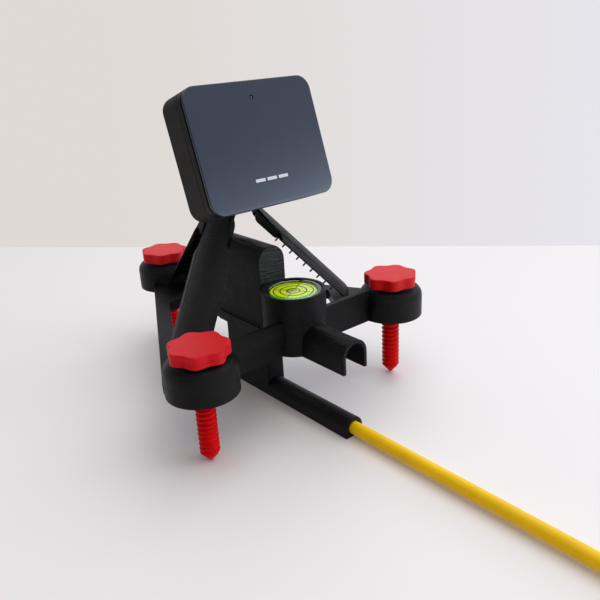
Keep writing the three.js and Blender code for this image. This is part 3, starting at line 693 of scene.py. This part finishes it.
refined("tripod_hub", 0.35, HUB)
for side in LEG_AZIMUTHS:
    leg = refined(f"tripod_leg_{side}", 0.45, LEG, KNURL)
    dress_leg(leg, side)
    refined(f"leg_foot_{side}", 0.4, SEAL)
refined("ball_socket", 0.3, HUB)
refined("clamp_collar", 0.2, HUB, sharp=20)

# ---- Radar head ----
ball_at = joint_at["head_tilt"]
out_axis = joint_axis["cover_open"].normalized()  # along the head's depth, pointing back
tilt = math.atan2(-out_axis.z, out_axis.y)
in_head = Matrix.Translation(ball_at) @ Matrix.Rotation(-tilt, 4, "X")


def head_outline(inset, depth, steps=14):
    radius = max(HEAD_CORNER - inset, 0.8)
    half_x = HEAD_WIDTH / 2 - inset - radius
    half_z = HEAD_HEIGHT / 2 - inset - radius
    ring = []
    for sx, sz, start in ((1, 1, 0), (-1, 1, 90), (-1, -1, 180), (1, -1, 270)):
        for i in range(steps + 1):
            angle = math.radians(start + 90 * i / steps)
            x = sx * half_x + radius * math.cos(angle)
            z = HEAD_RISE + sz * half_z + radius * math.sin(angle)
            ring.append((x, HEAD_FRONT + depth, z))
    return ring


def head_rings(name, steps, closed=False):
    return from_rings(name, [head_outline(inset, depth) for depth, inset in steps], closed, in_head)


def head_turned(name, profile, x, z, sides=48):
    """Body turned about the head's depth axis: [radius, depth] points at a place on the face."""
    move = Matrix.Translation((x * MM, HEAD_FRONT * MM, (HEAD_RISE + z) * MM))
    spin = Matrix.Rotation(math.radians(-90), 4, "X")
    return lathe(name, profile, sides, in_head @ move @ spin)


def side_block(name, spec, from_side, to_side, extra, radius):
    """Rounded block through the head's side wall."""
    z, half_length, half_width = spec
    side = HEAD_WIDTH / 2
    deep = HEAD_FRONT + SLOT_DEPTH
    height = HEAD_RISE + z
    low = (side - from_side, deep - half_width - extra, height - half_length - extra)
    high = (side - to_side, deep + half_width + extra, height + half_length + extra)
    return soft_block(name, low, high, radius, in_head)


plate_round = 0.55
plate_steps = [(plate_round - up, inward) for inward, up in reversed(quarter(plate_round, 5))]
plate_steps = [(0, 6.0), (0, 2.0), *plate_steps, (PLATE_THICK, 0), (PLATE_THICK, 4)]
plate = carve(
    head_rings("front_plate_surface", plate_steps),
    [head_turned("hole", [(1.25, -1), (1.25, PLATE_THICK + 1)], 0, STATUS_UP)],
)
piece("face_plate", plate, "front_plate", FACE)

status_profile = [(0, 0.12), (0.5, 0.14), (0.9, 0.3), (0.95, 0.6), (0.95, 3.4)]
status_mesh = head_turned("status_lens", status_profile, 0, STATUS_UP, 32)
piece("status_lens", status_mesh, "status_light", LIGHT, angle=60)

bezel_steps = [
    (PLATE_THICK + GAP, NECK_INSET), (BEZEL_FROM + 0.1, NECK_INSET),
    *[(BEZEL_FROM + 0.5 - up, inward) for inward, up in reversed(quarter(0.5, 4))],
    *[(BEZEL_TO - 0.35 + up, inward) for inward, up in quarter(0.35, 3)],
    (BEZEL_TO, 4), (PLATE_THICK + GAP, 4),
]
piece("bezel_ring", head_rings("bezel_ring", bezel_steps, True), "front_bezel", BEZEL)

case_start = BEZEL_TO + GAP
case_steps = [
    (HEAD_DEPTH, 12), (HEAD_DEPTH, 6),
    *[(HEAD_DEPTH - CASE_ROUND + up, inward) for inward, up in reversed(quarter(CASE_ROUND, 7))],
    *[(case_start + 0.35 - up, inward) for inward, up in quarter(0.35, 3)],
    (case_start, CASE_WALL), (HEAD_DEPTH - CASE_WALL, CASE_WALL), (HEAD_DEPTH - CASE_WALL, 12),
]
case_cuts = [
    side_block("cut", PORT, 1.5, -1, GAP, 0.9),
    side_block("cut", (PORT[0], 4.3, 1.9), CASE_WALL + 1, -1, 0, 1.2),
    side_block("cut", BUTTON, CASE_WALL + 1, -1, GAP, 1.2),
    head_turned("cut", [(4.9, HEAD_DEPTH - 7), (4.9, HEAD_DEPTH + 1)], 0, -HEAD_RISE),
    *[head_turned("cut", [(2.6, HEAD_DEPTH - 1.9), (2.6, HEAD_DEPTH + 1)], x, z) for x, z in CASE_SCREWS],
]
casing = carve(head_rings("casing", case_steps), case_cuts)
piece("casing_shell", casing, "rear_casing", CASE)
piece("button_cap", side_block("button", BUTTON, 3.6, 0.1, 0, 1.0), "power_button", SEAL)
piece("cover_flap", side_block("cover", PORT, 1.2, 0.1, 0, 0.45), "port_cover", SEAL)

# Plain marking on the face, three short bars.
for index, across in enumerate(MARK_ACROSS, 1):
    low = (across - MARK_HALF, HEAD_FRONT - 0.03, HEAD_RISE + MARK_LOW)
    high = (across + MARK_HALF, HEAD_FRONT + 0.08, HEAD_RISE + MARK_HIGH)
    bar = soft_block("mark", low, high, 0.05, in_head)
    piece(f"face_mark_{index}", bar, "front_plate", MARKING, replaces=False)

# Case screws with a six-point socket, in recesses of the back.
for index, (x, z) in enumerate(CASE_SCREWS, 1):
    shape = [(0, 6), (1.1, 6), (1.1, 1.8), (2.2, 1.8), (2.2, 0.9), (2.0, 0.65), (1.7, 0.6), (0, 0.6)]
    profile = [(radius, HEAD_DEPTH - below) for radius, below in shape]
    recess = head_turned("recess", [(1.1, HEAD_DEPTH - 1.5), (1.1, HEAD_DEPTH)], x, z, 6)
    screw_body = carve(head_turned("case_screw", profile, x, z), [recess])
    name = f"case_screw_{index}"
    piece(name + "_head", screw_body, name, STEEL)

stud_start = HEAD_DEPTH + 0.9
stud_shape = [(0, -5.2), (2, -5.2), (3.1, -4.2), (3.1, 0.6), (7.2, 0.6), (7.6, 0.9), (7.6, 1.9), (7.2, 2.2)]
stud_shape += [(4.2, 2.6), (3.0, 3.4), (STUD_NECK_R, 4.6)]
stud_profile = [(radius, stud_start + along) for radius, along in stud_shape]
ball_depth = -HEAD_FRONT
ball_turns = np.linspace(math.asin(STUD_NECK_R / BALL_R), math.pi, 18)[1:]
stud_profile += [(BALL_R * math.sin(t), ball_depth - BALL_R * math.cos(t)) for t in ball_turns]
stud = head_turned("stud_and_ball", stud_profile, 0, -HEAD_RISE, 64)
piece("stud_and_ball", stud, "ball_stud", STEEL, angle=40)
refined("stud_pad", 0.2, SEAL)

# ---- CAD nodes that keep their own shape ----
KEPT = {
    "leg_pin_left": STEEL,
    "leg_pin_right": STEEL,
    "leg_pin_rear": STEEL,
    "radar_board": BOARD,
    "main_board": BOARD,
    "radar_shield": TIN,
    "battery": CELL,
    "charge_port": TIN,
    "mount_insert": BRASS,
}
for name, material in KEPT.items():
    mesh = frame["nodes"][name].data
    mesh.materials.clear()
    mesh.materials.append(material)

# ---- Floor, light and camera ----
# The floor ends in a straight edge behind the object, where the pale background begins.
EDGE_NORMAL = Vector((0.754, 0.657, 0))
EDGE_DISTANCE = 0.343
EDGE_ALONG = Vector((EDGE_NORMAL.y, -EDGE_NORMAL.x, 0))
REACH = 4.0
edge_points = [EDGE_NORMAL * EDGE_DISTANCE + EDGE_ALONG * side * REACH for side in (-1, 1)]
corners = edge_points + [p - EDGE_NORMAL * 2 * REACH for p in reversed(edge_points)]
floor_mesh = bpy.data.meshes.new("floor")
floor_mesh.from_pydata([tuple(p) for p in corners], [], [(0, 1, 2, 3)])
floor = bpy.data.objects.new("floor", floor_mesh)
bpy.context.scene.collection.objects.link(floor)
floor_look = Look("floor_paint", (0.84, 0.825, 0.825), 0.5, 0.3).mottle(3, 0.01, 0.04)
floor_mesh.materials.append(floor_look.done())

world = bpy.data.worlds.new("room")
bpy.context.scene.world = world
world.use_nodes = True
nodes, links = world.node_tree.nodes, world.node_tree.links


def toned_by_direction(target, towards, near, far, away_tone, facing_tone):
    """Colour that runs from one tone to another as the direction turns towards a vector."""
    direction = nodes.new("ShaderNodeTexCoord")
    along = nodes.new("ShaderNodeVectorMath")
    along.operation = "DOT_PRODUCT"
    along.inputs[1].default_value = towards
    share = nodes.new("ShaderNodeMapRange")
    share.inputs["From Min"].default_value = near
    share.inputs["From Max"].default_value = far
    tone = nodes.new("ShaderNodeMix")
    tone.data_type = "RGBA"
    tone.inputs[6].default_value = (*away_tone, 1)
    tone.inputs[7].default_value = (*facing_tone, 1)
    links.new(direction.outputs["Generated"], along.inputs[0])
    links.new(along.outputs["Value"], share.inputs["Value"])
    links.new(share.outputs[0], tone.inputs[0])
    links.new(tone.outputs[2], target.inputs["Color"])


# The backdrop seen by the camera has painted light: darker and warmer at one end, brighter and cooler at
# the other. The room's light comes from behind the object.
backdrop = nodes["Background"]
room_light = nodes.new("ShaderNodeBackground")
WINDOW_WAY = Vector((0.78, 0.4, 0.48)).normalized()
# Painted light on the backdrop: the tone runs from a darker warm end to a brighter cool end.
toned_by_direction(backdrop, EDGE_ALONG, -0.4, 0.4, (0.745, 0.695, 0.655), (0.81, 0.81, 0.885))
toned_by_direction(room_light, WINDOW_WAY, -0.4, 0.9, (0.14, 0.1, 0.075), (0.8, 0.81, 0.86))
seen = nodes.new("ShaderNodeLightPath")
either = nodes.new("ShaderNodeMixShader")
links.new(seen.outputs["Is Camera Ray"], either.inputs[0])
links.new(room_light.outputs[0], either.inputs[1])
links.new(backdrop.outputs[0], either.inputs[2])
links.new(either.outputs[0], nodes["World Output"].inputs["Surface"])


def area_light(name, place, aim, size, power, color):
    data = bpy.data.lights.new(name, "AREA")
    data.shape = "RECTANGLE"
    data.size, data.size_y = size
    data.energy = power
    data.color = color
    light = bpy.data.objects.new(name, data)
    light.location = place
    light.rotation_euler = (Vector(aim) - Vector(place)).to_track_quat("-Z", "Y").to_euler()
    bpy.context.scene.collection.objects.link(light)


area_light("window_light", (0.95, 0.6, 1.15), (0, 0.05, 0.05), (1.1, 0.8), 4.0, (1, 0.985, 0.98))
area_light("ceiling_light", (0.1, -0.45, 1.5), (0, -0.05, 0), (2.2, 2.0), 15.2, (1, 0.98, 0.965))
area_light("front_card", (1.0, -1.21, 0.36), (0, 0.03, 0.16), (1.3, 0.28), 9.0, (0.68, 0.8, 1))

camera_data = bpy.data.cameras.new("camera")
camera_data.lens = 40.47
camera_data.sensor_width = 36.0
camera = bpy.data.objects.new("camera", camera_data)
bpy.context.scene.collection.objects.link(camera)
yaw, pitch, roll = -0.687, 0.379, -0.0531
forward = Vector((-math.sin(yaw) * math.cos(pitch), math.cos(yaw) * math.cos(pitch), -math.sin(pitch)))
level_right = Vector((math.cos(yaw), math.sin(yaw), 0))
level_up = level_right.cross(forward)
right = level_right * math.cos(roll) + level_up * math.sin(roll)
up = level_up * math.cos(roll) - level_right * math.sin(roll)
place = Matrix((right, up, -forward)).transposed().to_4x4()
place.translation = Vector((-0.2350, -0.2823, 0.2211))
camera.matrix_world = place
bpy.context.scene.camera = camera
bpy.context.scene.view_settings.view_transform = "Standard"
